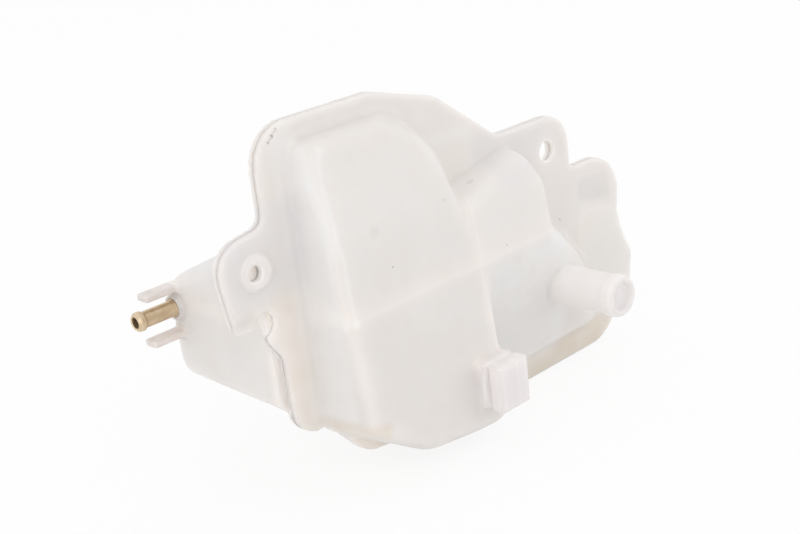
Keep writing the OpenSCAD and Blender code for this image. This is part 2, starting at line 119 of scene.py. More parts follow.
class Bench:
    # the nodes of one material
    def __init__(self, name):
        self.material = bpy.data.materials.new(name)
        self.material.use_nodes = True
        self.tree = self.material.node_tree
        self.tree.nodes.clear()
        self.place = self.add("ShaderNodeTexCoord", {}, {}, "Object")
        parts = self.add("ShaderNodeSeparateXYZ", {}, {0: self.place}).socket.node
        self.x, self.y, self.z = [Signal(self, parts.outputs[k]) for k in range(3)]

    def add(self, kind, settings, inputs, output=0):
        node = self.tree.nodes.new(kind)
        for key, value in settings.items():
            setattr(node, key, value)
        for key, value in inputs.items():
            if isinstance(value, Signal):
                self.tree.links.new(value.socket, node.inputs[key])
            else:
                node.inputs[key].default_value = value
        return Signal(self, node.outputs[output])

    def noise(self, size, detail=3):
        # a cloudy value from 0 to 1, with clouds about size metres across
        return self.add("ShaderNodeTexNoise", {},
                        {"Vector": self.place, "Scale": 1 / size, "Detail": detail})

    def ramp(self, value, start, end, low=0, high=1):
        # value from start to end becomes low to high, smoothly and held at both ends
        return self.add("ShaderNodeMapRange", {"interpolation_type": "SMOOTHSTEP"},
                        {"Value": value, "From Min": start, "From Max": end,
                         "To Min": low, "To Max": high})

    def blend(self, share, first, second):
        return self.add("ShaderNodeMix", {"data_type": "RGBA"}, {0: share, 6: first, 7: second}, 2)

    def near(self, point, reach, edge, flat=(1, 1, 1)):
        # 1 within reach of a point, falling to 0 over edge; a 0 in flat leaves that axis out
        place = self.add("ShaderNodeVectorMath", {"operation": "SUBTRACT"}, {0: self.place, 1: point})
        place = self.add("ShaderNodeVectorMath", {"operation": "MULTIPLY"}, {0: place, 1: flat})
        gap = self.add("ShaderNodeVectorMath", {"operation": "LENGTH"}, {0: place}, "Value")
        return self.ramp(gap, reach, reach + edge, 1, 0)

    def band(self, value, middle, half, edge):
        # 1 within half of the middle value, falling to 0 over edge
        return self.ramp(abs(value - middle), half, half + edge, 1, 0)

    def follow(self, value, knots):
        # a line through knots (value, result), from the lowest value up and held at both ends
        result = knots[0][1]
        for (start, low), (end, high) in zip(knots, knots[1:]):
            result = result + self.add("ShaderNodeMapRange", {},
                                       {"Value": value, "From Min": start, "From Max": end,
                                        "To Min": 0, "To Max": high - low})
        return result

    def patch(self, middle, half, edge):
        # 1 inside a box about a point, falling to 0 over edge
        share = 1
        for value, centre, reach in zip((self.x, self.y, self.z), middle, half):
            share = self.band(value, centre, reach, edge) * share
        return share

    def bump(self, height, strength, distance):
        return self.add("ShaderNodeBump", {}, {"Height": height, "Strength": strength,
                                               "Distance": distance})

    def finish(self, inputs):
        shader = self.add("ShaderNodeBsdfPrincipled", {}, inputs)
        end = self.tree.nodes.new("ShaderNodeOutputMaterial")
        self.tree.links.new(shader.socket, end.inputs["Surface"])
        return self.material


# every place and size in here is in millimetres
milky = {
    "base": screen(240, 232, 227),
    "shade": screen(237, 229, 224),
    # painted shade on thick forms and patches
    "solid": screen(224, 225, 229),
    # the colour of the painted glow
    "lit": screen(234, 238, 240),
    "warm": screen(212, 196, 170),
    "cool": screen(222, 227, 222),
    # painted light and highlights, then painted shade
    "bright": screen(250, 247, 244),
    "dim": screen(206, 200, 197),
    "dirt": screen(120, 110, 100),
    "roughness": (0.33, 0.45),
    "depth": 7,
    "bleed": (0.92, 0.9, 0.88),
    "clouds": 35,
    "mottle": 9,
    "grain": 0.4,
    "waves": 20,
    # the grain's share of the surface's unevenness, and how strong and deep that is
    "uneven": (0.02, 0.4, 0.5),
    "warmth": 0.05,
    # the values of the clouds and the mottle that each step takes as nothing and as full
    "stretch": {"clouds": (0.35, 0.65), "warmth": (0.5, 0.75), "roughness": (0.3, 0.7),
                "tints": (0.25, 0.65), "ridges": (0.3, 0.6), "dust": (0.3, 0.7)},
    # painted shade on rims that stand out, which look paler than they are: where it starts, where it
    # is full, strength
    "rim": (0.506, 0.53, 0.4),
    # small dirt: place, size, strength
    "specks": [((-144.7, -29, -13.9), 0.55, 0.8), ((-68, -30.7, -27.6), 0.7, 0.5),
               ((-104, -26.5, 6.3), 1.0, 0.2), ((6, -3.2, -41), 0.6, 0.6),
               ((-180.6, -3.2, 58.8), 1.0, 0.5), ((-181.8, -3.2, 57.8), 0.7, 0.5),
               ((-183.3, -3.2, 56.4), 1.2, 0.7), ((-184.4, -3.2, 55.2), 0.6, 0.5),
               ((-185.7, -3.2, 54.2), 0.9, 0.6), ((-151, -26.7, 5), 3.5, 0.08),
               ((-60, -31, -38), 5, 0.06)],
    # how much of a speck's size is its core
    "core": 0.3,
    # the crumbs that break the specks up: size, values taken as least and as full, least share
    "crumbs": (0.9, 0.35, 0.6, 0.35),
    # painted highlight lines along both sides of the near edge, from the bend up: height, x, y
    "sideLine": [(-34, -177, -27), (-20, -177, -23.3), (1, -176.8, -21.8), (10, -176.7, -20.2),
                 (20, -176.7, -18.2), (28, -176.5, -15.6), (35, -175.4, -13.8),
                 (44, -173.7, -11.5), (49, -171.7, -9)],
    "frontLine": [(-33, -172.4, -31.3), (-20, -173, -29.7), (-2, -172, -27.5), (7, -173, -26),
                  (17, -172.6, -24), (28, -172, -21), (35, -171, -18.3), (41, -169.4, -16.2),
                  (47, -166, -14.2)],
    # a short painted highlight streak on the flange's lower right lobe: height, x, y
    "scratch": [(-69.5, 25.6, -3.2), (-65.5, 22, -3.2), (-59, 17, -3.2)],
    # where the painted light lines fade in over their lower end and out over their upper end
    "lineFade": ((-3, 1), (2, -4)),
    # their half widths and strengths
    "highlightLines": {"sideLine": (1.0, 0.32), "frontLine": (1.1, 0.36), "scratch": (0.8, 0.7)},
    # the painted highlight spots at the ends of the first two: radius, soft edge, strength
    "highlightEnd": (0.4, 3.2, 0.25),
    # the painted highlight on the ridge where the front bends: height, half width, soft edge, and the
    # depths it starts over
    "bend": (-31.3, 0.2, 2.6, (-22, -27)),
    # the line of the painted highlight over the upright baffle down the main box's face: height, x
    "uprightLine": [(-75, -92.6), (-42, -89), (-24, -87), (0, -84)],
    "upright": (0.1, 1.8, (-18, -26)),
    # the least and the full strength of both painted ridge highlights
    "ridge": (0.06, 0.16),
    # warm tan tints, painted shade on the faces that look down or lie under the main box and plain
    # warm tints elsewhere, and painted light (bright) and painted shade (dim, solid) where more or
    # less light comes
    # through the walls: colour, middle, half size, soft edge, strength
    "tints": [("dim", (-215, 73, -34), (12, 26, 26), 3, 0.85),
              ("warm", (-187, -6, -20), (5, 6, 38), 8, 0.11),
              ("warm", (-8, -4, -117), (48, 4, 7), 5, 0.45),
              ("warm", (-75, -5, 16), (11, 4, 6), 8, 0.16),
              ("warm", (-203, -5, -8), (12, 6, 14), 10, 0.08),
              ("warm", (-150, -3, -112), (24, 6, 6), 8, 0.3),
              ("warm", (-186, -4, -72), (5, 4, 14), 8, 0.14),
              ("warm", (-192, 0, 20), (4, 6, 34), 6, 0.06),
              ("warm", (-172, -24, -92), (5, 14, 5), 6, 0.36),
              ("warm", (-120, 12, -120), (24, 12, 5), 7, 0.45),
              ("bright", (-45, -18, -75), (30, 12, 34), 14, 0.6),
              ("bright", (-179, -14, -10), (3, 8, 70), 6, 0.5),
              ("bright", (-75, -6, 16), (14, 6, 10), 8, 0.3),
              ("solid", (-30, -26, 10), (26, 24, 8), 10, 0.35),
              ("solid", (-170, 45, 6), (44, 50, 16), 12, 0.5)],
    # what is left of a tint where the mottle is lowest
    "tintLeast": 0.6,
    # painted shade on thick solid forms, which hold more light than the walls: point, share of each
    # axis, radius
    "thick": [((-17, -60, -68), (1, 0.25, 1), 13), ((-95, -48, -89), (0.8, 1, 0.8), 15)],
    "thickShare": 0.5,
    # their core and soft edge, as shares of the radius
    "thickEdge": (0.8, 0.4),
    # a cool patch on the lower right lobe: point, radius, soft edge, strength
    "coolSpot": ((45, -4, -70), 8, 22, 0.4),
    # dust in the joint between the flanges: half width, soft edge, and strengths
    "dust": (0.12, 0.35, (0.1, 0.35)),
    # the arm's front face beside the joint, which has none: middle, half size, soft edge
    "dustFree": ((-198, 0, -62), (16, 10, 30), 2),
    # painted glow where light comes through the walls of holes: point, share of each axis, radius,
    # strength
    "glow": [((0, 0, 0), (1, 0, 1), 5.7, 0.08), ((-17, -45, -68), (1, 0.35, 1), 8.0, 0.2),
             ((-204.5, -3, -1.5), (1, 1, 1), 4.4, 0.12), ((-203, 0, -27.5), (1, 1, 1), 6.4, 0.07),
             ((-95, -43, -89), (0.6, 2.2, 0.5), 7.5, 0.06)],
    "glowEdge": 1.2,
    # and painted glow that lightens the shade in the creases of the front flange's edge on the arm's
    # wall: height, x, y
    "creaseGlows": [[(-77, -194.4, -0.2), (-60, -194.9, -0.2), (-48, -195.3, -0.2), (-40, -199.7, -0.2)],
                [(-33.5, -200.6, -0.2), (-30.5, -197.9, -0.2), (-27.5, -197, -0.2),
                 (-24.5, -197.9, -0.2), (-21.5, -200.6, -0.2)]],
    "crease": (0.55, 0.24),
    # and painted glow that lightens the flange in the shade under the main box: middle, half size,
    # soft edge, strength
    "lowFlangeGlow": ((-151, -3, -109), (11, 3, 6), 6, 0.12),
}


def metres(values):
    return [value * mm for value in values]


def along(m, knots, column):
    # the x or y of a line at this height
    return m.follow(m.z, [(row[0] * mm, row[column] * mm) for row in knots])


def litLine(m, knots, half):
    # 1 on a line through knots of height, x and y, falling to 0 beside it and at both ends
    low, high = [m.ramp(m.z, *metres([knot[0] + off for off in fade]))
                 for knot, fade in zip((knots[0], knots[-1]), milky["lineFade"])]
    across = m.add("ShaderNodeCombineXYZ", {},
                   {0: m.x - along(m, knots, 1), 1: m.y - along(m, knots, 2)})
    gap = m.add("ShaderNodeVectorMath", {"operation": "LENGTH"}, {0: across}, "Value")
    return m.ramp(gap, 0, 2 * half * mm, 1, 0) * (low * high)


def tintedAndShaded(m, mottle, colour):
    # warm tints with painted shade on the lower faces, painted light and shade over patches, painted
    # shade on thick forms and on rims, and a cool patch
    for name, middle, half, edge, strength in milky["tints"]:
        share = m.patch(metres(middle), metres(half), edge * mm)
        least = strength * milky["tintLeast"]
        share = share * m.ramp(mottle, *milky["stretch"]["tints"], least, strength)
        colour = m.blend(share, colour, milky[name])
    # painted shade on thick forms
    core, edge = milky["thickEdge"]
    for point, flat, radius in milky["thick"]:
        share = m.near(metres(point), radius * mm * core, radius * mm * edge, flat)
        colour = m.blend(share * milky["thickShare"], colour, milky["solid"])
    # painted shade on rims that stand out
    start, full, strength = milky["rim"]
    rim = m.add("ShaderNodeNewGeometry", {}, {}, "Pointiness")
    colour = m.blend(m.ramp(rim, start, full) * strength, colour, milky["dim"])
    point, radius, edge, strength = milky["coolSpot"]
    return m.blend(m.near(metres(point), radius * mm, edge * mm) * strength, colour, milky["cool"])


def highlighted(m, mottle, colour):
    # painted highlights: on the ridge where the front bends, on the one down the upright baffle,
    # along the light lines, and in spots at their ends
    height, half, edge, depths = milky["bend"]
    bend = m.band(m.z, height * mm, half * mm, edge * mm) * m.ramp(m.y, *metres(depths))
    half, edge, depths = milky["upright"]
    upright = m.band(m.x, along(m, milky["uprightLine"], 1), half * mm, edge * mm)
    upright = upright * m.ramp(m.y, *metres(depths))
    broken = m.ramp(mottle, *milky["stretch"]["ridges"], *milky["ridge"])
    for ridge in (bend, upright):
        colour = m.blend(ridge * broken, colour, milky["bright"])
    for name, (half, strength) in milky["highlightLines"].items():
        colour = m.blend(litLine(m, milky[name], half) * strength, colour, milky["bright"])
    radius, edge, strength = milky["highlightEnd"]
    for name in ("sideLine", "frontLine"):
        for z, x, y in (milky[name][-1], milky[name][0]):
            spot = m.near(metres((x, y, z)), radius * mm, edge * mm)
            colour = m.blend(spot * strength, colour, milky["bright"])
    return colour


def dirtied(m, mottle, colour):
    # dust in the joint and small dirt on the walls
    half, edge, strengths = milky["dust"]
    middle, reach, soft = milky["dustFree"]
    joint = m.band(m.y, 0, half * mm, edge * mm)
    joint = joint * (1 - m.patch(metres(middle), metres(reach), soft * mm))
    dusty = m.ramp(mottle, *milky["stretch"]["dust"], *strengths)
    colour = m.blend(joint * dusty, colour, milky["warm"])
    size, start, end, least = milky["crumbs"]
    crumbs = m.ramp(m.noise(size * mm, 2), start, end, least, 1)
    for point, size, strength in milky["specks"]:
        spot = m.near(metres(point), size * milky["core"] * mm, size * mm)
        colour = m.blend(spot * crumbs * strength, colour, milky["dirt"])
    return colour


def glowing(m):
    # painted glow, given as emission: how much light comes through from behind
    lit = 0
    for point, flat, radius, strength in milky["glow"]:
        lit = lit + m.near(metres(point), radius * mm, milky["glowEdge"] * mm, flat) * strength
    half, strength = milky["crease"]
    for crease in milky["creaseGlows"]:
        lit = lit + litLine(m, crease, half) * strength
    middle, half, edge, strength = milky["lowFlangeGlow"]
    return lit + m.patch(metres(middle), metres(half), edge * mm) * strength


def milkyPlastic():
    m = Bench("milkyPlastic")
    clouds = m.noise(milky["clouds"] * mm, 2)
    mottle = m.noise(milky["mottle"] * mm, 4)
    stretch = milky["stretch"]
    colour = m.blend(m.ramp(clouds, *stretch["clouds"]), milky["shade"], milky["base"])
    warmth = m.ramp(mottle, *stretch["warmth"], 0, milky["warmth"])
    colour = m.blend(warmth, colour, milky["warm"])
    # warm tints with painted light and shade, painted highlights, then dust and dirt
    for step in (tintedAndShaded, highlighted, dirtied):
        colour = step(m, mottle, colour)
    grain = m.noise(milky["grain"] * mm, 2)
    waves = m.noise(milky["waves"] * mm, 1)
    share, strength, depth = milky["uneven"]
    return m.finish({
        "Base Color": colour,
        "Roughness": m.ramp(mottle, *stretch["roughness"], *milky["roughness"]),
        "IOR": 1.49,
        "Subsurface Weight": 1.0,
        "Subsurface Radius": milky["bleed"],
        "Subsurface Scale": milky["depth"] * mm,
        # painted glow through holes, creases and the shaded flange
        "Emission Color": m.blend(glowing(m), (0, 0, 0, 1), milky["lit"]),
        "Emission Strength": 1.0,
        "Normal": m.bump(waves + grain * share, strength, depth * mm),
    })


fine = {
    "grain": 0.5 * mm,
    "depth": 0.05 * mm,
    "bump": 0.4,
    # the clouds' values taken as nothing and as full, and how the roughness spreads over them
    "stretch": (0.3, 0.7),
    "spread": (-0.05, 0.06),
}


def plain(name, low, high, size, roughness, metallic=0.0):
    # moulded or drawn finish: two near colours in clouds, with a fine grain
    m = Bench(name)
    clouds = m.noise(size * mm)
    smooth, rough = [roughness + off for off in fine["spread"]]
    return m.finish({
        "Base Color": m.blend(m.ramp(clouds, *fine["stretch"]), low, high),
        "Roughness": m.ramp(clouds, *fine["stretch"], smooth, rough),
        "Metallic": metallic,
        "Normal": m.bump(m.noise(fine["grain"], 2), fine["bump"], fine["depth"]),
    })


finishes = {
    "milky_plastic": milkyPlastic(),
    "nipple_metal": plain("brownBrass", screen(206, 184, 152), screen(226, 206, 176), 6, 0.34, 0.9),
    "black_plastic": plain("blackPlastic", screen(26, 26, 27), screen(38, 38, 39), 10, 0.42),
    "seal_rubber": plain("sealRubber", screen(22, 22, 23), screen(34, 33, 33), 4, 0.6),
    "valve_plastic": plain("valvePlastic", screen(205, 198, 178), screen(214, 208, 190), 8, 0.35),
    "spring_steel": plain("springSteel", screen(170, 171, 173), screen(196, 197, 199), 3, 0.28, 1.0),
}
print("finishes made")


def dress(piece, body, slotName, *nodes):
    # gives a piece its finish and its body, and hides the nodes that it stands for
    piece.data.materials.clear()
    piece.data.materials.append(finishes[slotName])
    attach(piece, body)
    if nodes:
        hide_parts(*nodes)
    return piece


def settle(piece):
    # bakes a piece's modifiers into its mesh
    bpy.context.view_layer.update()
    graph = bpy.context.evaluated_depsgraph_get()
    mesh = bpy.data.meshes.new_from_object(piece.evaluated_get(graph))
    old = piece.data
    piece.modifiers.clear()
    piece.data = mesh
    bpy.data.meshes.remove(old)
    return piece


def copyOf(node, name):
    piece = bpy.data.objects.new(name, frame["nodes"][node].data.copy())
    bpy.context.scene.collection.objects.link(piece)
    return piece


def places(mesh):
    # a mesh's points as rows of x, y and z
    values = np.empty(len(mesh.vertices) * 3)
    mesh.vertices.foreach_get("co", values)
    return values.reshape(-1, 3)


class Net:
    # which points of a mesh are joined by edges
    def __init__(self, mesh):
        pairs = np.empty(len(mesh.edges) * 2, dtype=np.int32)
        mesh.edges.foreach_get("vertices", pairs)
        self.first, self.second = pairs.reshape(-1, 2).T
        self.count = len(mesh.vertices)
        self.neighbours = (np.bincount(self.first, minlength=self.count)
                           + np.bincount(self.second, minlength=self.count))

    def middle(self, values):
        # the mean of each point's neighbours, for one value a point
        total = np.bincount(self.first, values[self.second], self.count)
        total += np.bincount(self.second, values[self.first], self.count)
        return total / self.neighbours

    def middles(self, points):
        return np.stack([self.middle(points[:, k]) for k in range(3)], axis=1)


def relax(mesh, shares, rounds):
    # moves each point towards the middle of its neighbours, by its own share, rounds times
    points = places(mesh)
    net = Net(mesh)
    for turn in range(rounds):
        points += shares[:, None] * (net.middles(points) - points)
    mesh.vertices.foreach_set("co", points.ravel())
    mesh.update()


def hollows(mesh, bends, spread, edge):
    # 1 in the inner corners of a mesh, spread over the neighbours and falling to 0
    net = Net(mesh)
    points = places(mesh)
    normals = np.empty(len(mesh.vertices) * 3)
    mesh.vertices.foreach_get("normal", normals)
    bend = ((net.middles(points) - points) * normals.reshape(-1, 3)).sum(axis=1)
    share = smoothstep(bend, *metres(bends))
    for turn in range(spread):
        share = np.maximum(share, net.middle(share))
    return smoothstep(share, *edge)


def smoothstep(value, start, end):
    t = np.clip((value - start) / (end - start), 0, 1)
    return t * t * (3 - 2 * t)


# every place and size in here is in millimetres; rounds and shares say how far points relax
shell = {
    "weld": 0.002,
    "voxel": 0.8,
    "flange": 3.2,
    # the walls soften from here on out from the flange
    "foot": (1.5, 5),
    "soft": (0.5, 60),
    # inner corners get a fillet: the bends it starts at and is full at, how many points it
    # spreads over, the shares of that it starts at and is full at, and its share and rounds
    "bends": (0.04, 0.12),
    "spread": 8,
    "spreadEdge": (0.02, 0.5),
    "fillet": (0.5, 40),
    # every edge is broken at last
    "trim": (0.4, 6),
    "triangles": 180000,
    # the arm's front face stays flat where the two shells meet: x below, z from and to, half depth
    "armFace": (-189, -92, -33, 0.6),
}

# where the shells keep crisp edges: middle, radius or half sizes, soft edge, and where that starts
crisp = {
    "outlet": ((-17, 0, -68), 12.5, 3, 14),
    "lug": ((-95, 0, -89), (12, 14), (37, 40)),
    "boss": ((-203.5, 0, -1), 11, 2),
    "nipple": ((0, 73, -34), 18, 3, 199.5),
    "neck": ((-42, 0, -64), 21, 3, 84.5),
}

# the front flange's rear face is let into the arm's wall: how far, and the soft edges of the place
seat = {
    "depth": 1.0,
    "left": (-200.2, -199.4),
    "right": (-184, -187),
    "low": (-76, -75),
    "high": (-20, -21),
    "layer": (-1.3, -0.6),
}


def nearAxis(points, centre, axis, radius, edge):
    # 1 within radius of a line through centre along an axis, falling to 0 over edge
    across = [k for k in range(3) if k != axis]
    gap = np.hypot(*[(points[:, k] - centre[k] * mm) for k in across])
    return 1 - smoothstep(gap, radius * mm, (radius + edge) * mm)


def outletKeeper(points):
    middle, radius, edge, start = crisp["outlet"]
    return nearAxis(points, middle, 1, radius, edge) * (points[:, 1] < -start * mm)


def lugKeeper(points):
    middle, (halfX, halfZ), (start, full) = crisp["lug"]
    side = np.abs(points[:, 0] - middle[0] * mm) < halfX * mm
    side &= np.abs(points[:, 2] - middle[2] * mm) < halfZ * mm
    return side * smoothstep(-points[:, 1], start * mm, full * mm)


def bossKeeper(points):
    middle, radius, edge = crisp["boss"]
    return nearAxis(points, middle, 1, radius, edge)


def nippleKeeper(points):
    middle, radius, edge, start = crisp["nipple"]
    return nearAxis(points, middle, 0, radius, edge) * (points[:, 0] < -start * mm)


def neckKeeper(points):
    middle, radius, edge, start = crisp["neck"]
    return nearAxis(points, middle, 1, radius, edge) * (points[:, 1] > start * mm)


def moulded(node, name, keepers):
    # a shell with the soft edges of a moulding: keepers say where it stays crisp
    piece = copyOf(node, name)
    weld = piece.modifiers.new("weld", "WELD")
    weld.merge_threshold = shell["weld"] * mm
    skin = piece.modifiers.new("skin", "REMESH")
    skin.mode = "VOXEL"
    skin.voxel_size = shell["voxel"] * mm
    settle(piece)
    points = places(piece.data)
    start, full = [(shell["flange"] + value) * mm for value in shell["foot"]]
    body = smoothstep(np.abs(points[:, 1]), start, full)
    for keeper in keepers:
        body *= 1 - keeper(points)
    share, rounds = shell["soft"]
    relax(piece.data, share * body, rounds)
    corners = hollows(piece.data, shell["bends"], shell["spread"], shell["spreadEdge"])
    for keeper in keepers:
        corners *= 1 - keeper(points)
    share, rounds = shell["fillet"]
    relax(piece.data, share * corners, rounds)
    edgeX, lowZ, highZ, half = [value * mm for value in shell["armFace"]]
    flat = (np.abs(points[:, 1]) < half) & (points[:, 0] < edgeX)
    flat &= (points[:, 2] > lowZ) & (points[:, 2] < highZ)
    share, rounds = shell["trim"]
    relax(piece.data, np.where(flat, 0, share), rounds)
    thin = piece.modifiers.new("thin", "DECIMATE")
    thin.ratio = shell["triangles"] / (2 * len(piece.data.polygons))
    settle(piece)
    piece.data.polygons.foreach_set("use_smooth", [True] * len(piece.data.polygons))
    print(name, len(piece.data.polygons))
    return piece


def seated(piece):
    # leaves no slit along the front flange's edge on the arm's wall
    points = places(piece.data)
    x, y, z = points.T
    share = smoothstep(x, *metres(seat["left"])) * smoothstep(x, *metres(seat["right"]))
    share *= smoothstep(z, *metres(seat["low"])) * smoothstep(z, *metres(seat["high"]))
    points[:, 1] += seat["depth"] * mm * share * smoothstep(y, *metres(seat["layer"]))
    piece.data.vertices.foreach_set("co", points.ravel())
    piece.data.update()
    return piece


frontShell = moulded("front_shell", "frontShell", [outletKeeper, lugKeeper, bossKeeper])
dress(seated(frontShell), "tank", "milky_plastic", "front_shell")
rearShell = moulded("rear_shell", "rearShell", [nippleKeeper, neckKeeper])
dress(rearShell, "tank", "milky_plastic", "rear_shell")
print("shells made")


turning = {
    # steps of a rounding, and how far from it a straight side's end point stands, in millimetres
    "steps": 5,
    "guard": 0.15,
    # edges sharper than this stay sharp, in degrees
    "crease": 50,
}


def softened(corners):
    # a section of corners [radius, height, rounding] with arcs at the rounded corners and a point
    # close to both ends of each straight side, so that smooth shading stays on the arcs
    points = []
    last = len(corners) - 1
    for index, (r, h, rounding) in enumerate(corners):
        here = Vector((r, h))
        if not rounding or index in (0, last):
            points.append(here)
            continue
        before = (Vector(corners[index - 1][:2]) - here).normalized()
        after = (Vector(corners[index + 1][:2]) - here).normalized()
        half = before.angle(after) / 2
        reach = rounding / math.tan(half)
        start, end = here + before * reach, here + after * reach
        centre = here + (before + after).normalized() * rounding / math.sin(half)
        points.append(start + before * turning["guard"] * mm)
        for step in range(turning["steps"] + 1):
            spoke = (start - centre).lerp(end - centre, step / turning["steps"])
            points.append(centre + spoke.normalized() * rounding)
        points.append(end + after * turning["guard"] * mm)
    return [tuple(point) for point in points]


def turned(name, section, columns, out, shape=None, loop=False):
    # a section of (radius, height) turned about an axis: out(right, up, height) gives the place,
    # and shape(radius, height, angle) may change a radius. A section that starts and ends on the
    # axis closes there, and a loop closes on itself.
    mesh = bpy.data.meshes.new(name)
    maker = bmesh.new()
    rows = []
    for radius, height in section:
        if radius < 1e-9:
            rows.append([maker.verts.new(out(0, 0, height))] * columns)
            continue
        row = []
        for column in range(columns):
            angle = 2 * math.pi * column / columns
            reach = shape(radius, height, angle) if shape else radius
            place = out(reach * math.cos(angle), reach * math.sin(angle), height)
            row.append(maker.verts.new(place))
        rows.append(row)
    if loop:
        rows.append(rows[0])
    for low, high in zip(rows, rows[1:]):
        for column in range(columns):
            after = (column + 1) % columns
            corners = [low[column], low[after], high[after], high[column]]
            corners = list(dict.fromkeys(corners))
            if len(corners) > 2:
                maker.faces.new(corners)
    return finished(mesh, maker, name)


def finished(mesh, maker, name):
    # closes a mesh's making and puts it into the scene
    bmesh.ops.recalc_face_normals(maker, faces=maker.faces)
    maker.to_mesh(mesh)
    maker.free()
    mesh.polygons.foreach_set("use_smooth", [True] * len(mesh.polygons))
    mesh.set_sharp_from_angle(angle=math.radians(turning["crease"]))
    item = bpy.data.objects.new(name, mesh)
    bpy.context.scene.collection.objects.link(item)
    print(name, len(mesh.polygons))
    return item


def swept(name, rings):
    # a closed skin over rings of points, one after another
    mesh = bpy.data.meshes.new(name)
    maker = bmesh.new()
    rows = [[maker.verts.new(point) for point in ring] for ring in rings]
    count = len(rows[0])
    for low, high in zip(rows, rows[1:]):
        for k in range(count):
            maker.faces.new((low[k], low[(k + 1) % count], high[(k + 1) % count], high[k]))
    maker.faces.new(rows[0][::-1])
    maker.faces.new(rows[-1])
    return finished(mesh, maker, name)


def joined(first, *others):
    # one piece out of several
    with bpy.context.temp_override(active_object=first, object=first,
                                   selected_editable_objects=[first, *others]):
        bpy.ops.object.join()
    return first


capLow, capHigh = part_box("cap_shell")
neckAxis = ((capLow.x + capHigh.x) / 2, (capLow.z + capHigh.z) / 2)
capGap = 4 * mm  # between the rear face and the cap's skirt
rearFace = capLow.y - capGap


def onNeck(right, up, height):
    # a place on the neck's axis, height from the rear face
    return (neckAxis[0] + right, rearFace + height, neckAxis[1] - up)


thread = {
    "pitch": 4 * mm,
    "start": 7 * mm,
    "turns": 1.75,
    "rootHalf": 0.8 * mm,
    "crestHalf": 0.4 * mm,
    # root and crest radius
    "neck": (19.2 * mm, 20.35 * mm),
    "cap": (20.95 * mm, 19.85 * mm),
    "perTurn": 64,
    # steps that it fades in and out over, and its least height there
    "fade": (8, 0.15),
}


def ridge(name, radii, start):
    # a right-handed thread's ridge from its root radius to its crest, fading in and out
    root, crest = radii
    rings = []
    steps = int(thread["turns"] * thread["perTurn"])
    fadeSteps, least = thread["fade"]
    for step in range(steps + 1):
        angle = 2 * math.pi * step / thread["perTurn"]
        fade = min(1, step / fadeSteps, (steps - step) / fadeSteps)
        tip = root + (crest - root) * (least + (1 - least) * fade)
        middle = start + thread["pitch"] * step / thread["perTurn"]
        ring = []
        for reach, off in ((root, -thread["rootHalf"]), (tip, -thread["crestHalf"]),
                           (tip, thread["crestHalf"]), (root, thread["rootHalf"])):
            ring.append(onNeck(reach * math.sin(angle), -reach * math.cos(angle), middle + off))
        rings.append(ring)
    return swept(name, rings)


cap = {
    "low": capLow.y - rearFace,
    "top": capHigh.y - rearFace,
    "skirtOut": 23.3 * mm,
    "skirtIn": 20.7 * mm,
    # the claw's two heights and its inner radius
    "claw": (17.4 * mm, 18.6 * mm, 19.5 * mm),
    "roof": 21.2 * mm,
    "ribs": 24,
    "perRib": 16,
    "ribHalf": 1.7 * mm,
    "ribHeight": 1.4 * mm,
    "ribSwell": 1.4,
    # points deeper than this inside the skirt's radius carry no ribs
    "ribRoot": 0.4 * mm,
    # the ribs end this far under the top, over this height
    "ribEnd": (1.7 * mm, 1.2 * mm),
    "rounds": {"dish": 0.8 * mm, "rim": 1.6 * mm, "foot": 0.5 * mm, "mouth": 0.6 * mm,
               "claw": 0.3 * mm, "roof": 0.4 * mm},
    # the dish in the top: radius, depth, width of its slope
    "dish": (17 * mm, 0.6 * mm, 1.2 * mm),
    "row": 1.2 * mm,
}


def ribbed(radius, height, angle):
    # the grip ribs stand on the skirt's outside and fade out towards its top
    if radius < cap["skirtOut"] - cap["ribRoot"]:
        return radius
    under, over = cap["ribEnd"]
    apart = 2 * math.pi / cap["ribs"]
    off = abs((angle + apart / 2) % apart - apart / 2) * cap["skirtOut"] / cap["ribHalf"]
    swell = math.cos(min(off, 1) * math.pi / 2) ** cap["ribSwell"]
    fade = min(1, max(0, (cap["top"] - under - height) / over))
    return radius + cap["ribHeight"] * swell * fade * fade * (3 - 2 * fade)


def screwCap():
    clawLow, clawHigh, clawIn = cap["claw"]
    dishR, dishDepth, slope = cap["dish"]
    top, low, roof = cap["top"], cap["low"], cap["roof"]
    skirtOut, skirtIn, rounds = cap["skirtOut"], cap["skirtIn"], cap["rounds"]
    section = softened([[0, top - dishDepth, 0], [dishR, top - dishDepth, rounds["dish"]],
                        [dishR + slope, top, rounds["dish"]], [skirtOut, top, rounds["rim"]],
                        [skirtOut, low, rounds["foot"]], [skirtIn, low, rounds["mouth"]],
                        [skirtIn, clawLow, rounds["claw"]], [clawIn, clawLow, rounds["claw"]],
                        [clawIn, clawHigh, rounds["claw"]], [skirtIn, clawHigh, rounds["claw"]],
                        [skirtIn, roof, rounds["roof"]], [0, roof, 0]])
    dense = []
    for (r, h), (nextR, nextH) in zip(section, section[1:]):
        rows = max(1, round(abs(nextH - h) / cap["row"]))
        for row in range(rows):
            dense.append((r + (nextR - r) * row / rows, h + (nextH - h) * row / rows))
    dense.append(section[-1])
    outer = turned("screwCap", dense, cap["ribs"] * cap["perRib"], onNeck, ribbed)
    inner = ridge("capThread", thread["cap"], thread["start"] + thread["pitch"] / 2)
    return joined(outer, inner)


dress(screwCap(), "cap", "black_plastic", "cap_shell")
dress(ridge("neckThread", thread["neck"], thread["start"]), "tank", "milky_plastic")

